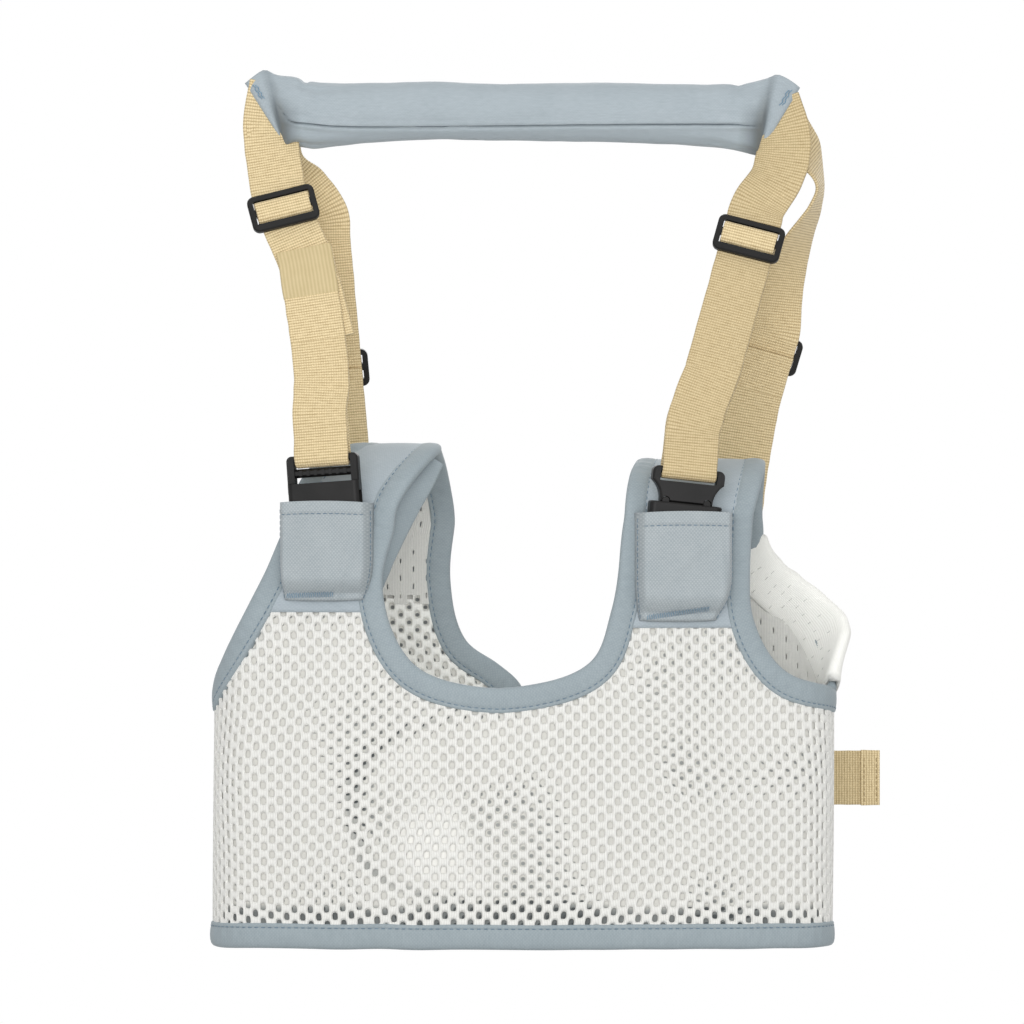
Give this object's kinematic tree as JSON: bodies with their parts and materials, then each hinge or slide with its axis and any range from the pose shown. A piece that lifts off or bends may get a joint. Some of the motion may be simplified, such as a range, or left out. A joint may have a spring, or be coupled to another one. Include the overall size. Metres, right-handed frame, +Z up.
{
  "type": "toddler walking harness",
  "caption": "Mesh vest hung by adjustable webbing straps from a padded lifting handle, with side-release buckles in shoulder pockets and a buckled back belt.",
  "frame": {"origin": "middle of the padded handle grip", "axes": "+Z up, from the vest to the handle; +Y from the vest's front to its back; +X to the right as seen from the front"},
  "size_m": [0.304, 0.1046, 0.392],
  "materials": {
    "acetal": "satin moulded black",
    "webbing": "khaki woven polyester webbing",
    "air_mesh": "off-white knitted air mesh",
    "padding": "soft foam wadding",
    "lining": "white knitted lining",
    "sleeve_cloth": "blue-grey woven cloth",
    "vest_cloth": "blue-grey woven cloth",
    "binding_tape": "blue-grey folded tape"
  },
  "bodies": {
    "harness": {"armhole_binding_left": "binding_tape", "armhole_binding_right": "binding_tape", "back_mesh_left": "air_mesh", "back_mesh_right": "air_mesh", "back_ring_tabs": "webbing", "back_rings": "acetal", "back_yoke_left": "vest_cloth", "back_yoke_right": "vest_cloth", "belt_buckle_socket": "acetal", "belt_webbing_left": "webbing", "belt_webbing_right": "webbing", "chest_pad": "padding", "front_mesh": "air_mesh", "front_yoke_left": "vest_cloth", "front_yoke_right": "vest_cloth", "handle_foam": "padding", "handle_sleeve": "sleeve_cloth", "hem_binding": "binding_tape", "left_buckle_plug": "acetal", "left_buckle_tab": "webbing", "neck_binding": "binding_tape", "pocket_left": "vest_cloth", "pocket_right": "vest_cloth", "right_buckle_socket": "acetal", "right_buckle_tab": "webbing", "shoulder_left": "vest_cloth", "shoulder_lining_left": "lining", "shoulder_lining_right": "lining", "shoulder_right": "vest_cloth", "strap_back_left": "webbing", "strap_back_left_loop": "webbing", "strap_back_left_return": "webbing", "strap_back_right": "webbing", "strap_back_right_loop": "webbing", "strap_back_right_return": "webbing", "strap_front_left": "webbing", "strap_front_left_loop": "webbing", "strap_front_left_return": "webbing", "strap_front_right": "webbing", "strap_front_right_loop": "webbing", "strap_front_right_return": "webbing"},
    "slide_front_left": {"slide_front_left": "acetal", "slide_front_left_webbing": "webbing"},
    "slide_front_right": {"slide_front_right": "acetal", "slide_front_right_webbing": "webbing"},
    "slide_back_left": {"slide_back_left": "acetal", "slide_back_left_webbing": "webbing"},
    "slide_back_right": {"slide_back_right": "acetal", "slide_back_right_webbing": "webbing"},
    "left_buckle_socket": {"left_buckle_socket": "acetal"},
    "right_buckle_plug": {"right_buckle_plug": "acetal"},
    "belt_buckle_plug": {"belt_buckle_plug": "acetal"},
    "left_buckle_prong_a": {"left_buckle_prong_a": "acetal"},
    "left_buckle_prong_b": {"left_buckle_prong_b": "acetal"},
    "right_buckle_prong_a": {"right_buckle_prong_a": "acetal"},
    "right_buckle_prong_b": {"right_buckle_prong_b": "acetal"},
    "belt_buckle_prong_a": {"belt_buckle_prong_a": "acetal"},
    "belt_buckle_prong_b": {"belt_buckle_prong_b": "acetal"}
  },
  "joints": [
    {"name": "slide_front_left_run", "type": "slide", "parent": "harness", "child": "slide_front_left", "axis": [-0.2525, 0.273, 0.9283], "range_m": [-0.0541, 0], "deforming": ["strap_front_left_return"]},
    {"name": "slide_front_right_run", "type": "slide", "parent": "harness", "child": "slide_front_right", "axis": [0.2617, 0.2784, 0.9241], "range_m": [-0.0545, 0.0163], "deforming": ["strap_front_right_return"]},
    {"name": "slide_back_left_run", "type": "slide", "parent": "harness", "child": "slide_back_left", "axis": [-0.0842, -0.1978, 0.9766], "range_m": [-0.0325, 0.0673], "deforming": ["strap_back_left_return"]},
    {"name": "slide_back_right_run", "type": "slide", "parent": "harness", "child": "slide_back_right", "axis": [0.2768, -0.1996, 0.94], "range_m": [-0.0092, 0.0494], "deforming": ["strap_back_right_return"]},
    {"name": "left_buckle_socket_release", "type": "slide", "parent": "harness", "child": "left_buckle_socket", "axis": [-0.0684, 0.0135, 0.9976], "range_m": [0, 0.03], "deforming": ["strap_front_left_loop", "left_buckle_prong_a", "left_buckle_prong_b"]},
    {"name": "right_buckle_plug_release", "type": "slide", "parent": "harness", "child": "right_buckle_plug", "axis": [0.1032, 0.0168, 0.9945], "range_m": [0, 0.03], "deforming": ["strap_front_right_loop", "right_buckle_prong_a", "right_buckle_prong_b"]},
    {"name": "belt_buckle_plug_release", "type": "slide", "parent": "harness", "child": "belt_buckle_plug", "axis": [1, 0, 0], "range_m": [0, 0.03], "deforming": ["belt_webbing_right", "belt_buckle_prong_a", "belt_buckle_prong_b"]},
    {"name": "left_buckle_prong_a_hinge", "type": "hinge", "parent": "harness", "child": "left_buckle_prong_a", "pos_m": [-0.07814, -0.04147, -0.19634], "axis": [0.1929, 0.9812, 0], "range_deg": [-14, 0], "stiffness_Nm_per_rad": 0.05},
    {"name": "left_buckle_prong_b_hinge", "type": "hinge", "parent": "harness", "child": "left_buckle_prong_b", "pos_m": [-0.09674, -0.03781, -0.19766], "axis": [0.1929, 0.9812, 0], "range_deg": [0, 14], "stiffness_Nm_per_rad": 0.05},
    {"name": "right_buckle_prong_a_hinge", "type": "hinge", "parent": "right_buckle_plug", "child": "right_buckle_prong_a", "pos_m": [0.06374, -0.04375, -0.17641], "axis": [-0.161, 0.987, 0], "range_deg": [-14, 0], "stiffness_Nm_per_rad": 0.05},
    {"name": "right_buckle_prong_b_hinge", "type": "hinge", "parent": "right_buckle_plug", "child": "right_buckle_prong_b", "pos_m": [0.08239, -0.0407, -0.1784], "axis": [-0.161, 0.987, 0], "range_deg": [0, 14], "stiffness_Nm_per_rad": 0.05},
    {"name": "belt_buckle_prong_a_hinge", "type": "hinge", "parent": "belt_buckle_plug", "child": "belt_buckle_prong_a", "pos_m": [0.02295, 0.04815, -0.3135], "axis": [0, -1, 0], "range_deg": [-14, 0], "stiffness_Nm_per_rad": 0.05},
    {"name": "belt_buckle_prong_b_hinge", "type": "hinge", "parent": "belt_buckle_plug", "child": "belt_buckle_prong_b", "pos_m": [0.02295, 0.04815, -0.2945], "axis": [0, -1, 0], "range_deg": [0, 14], "stiffness_Nm_per_rad": 0.05}
  ],
  "couplings": [
    {"joint": "left_buckle_prong_a_hinge", "follows": "left_buckle_prong_b_hinge", "ratio": -1},
    {"joint": "right_buckle_prong_a_hinge", "follows": "right_buckle_prong_b_hinge", "ratio": -1},
    {"joint": "belt_buckle_prong_a_hinge", "follows": "belt_buckle_prong_b_hinge", "ratio": -1}
  ]
}
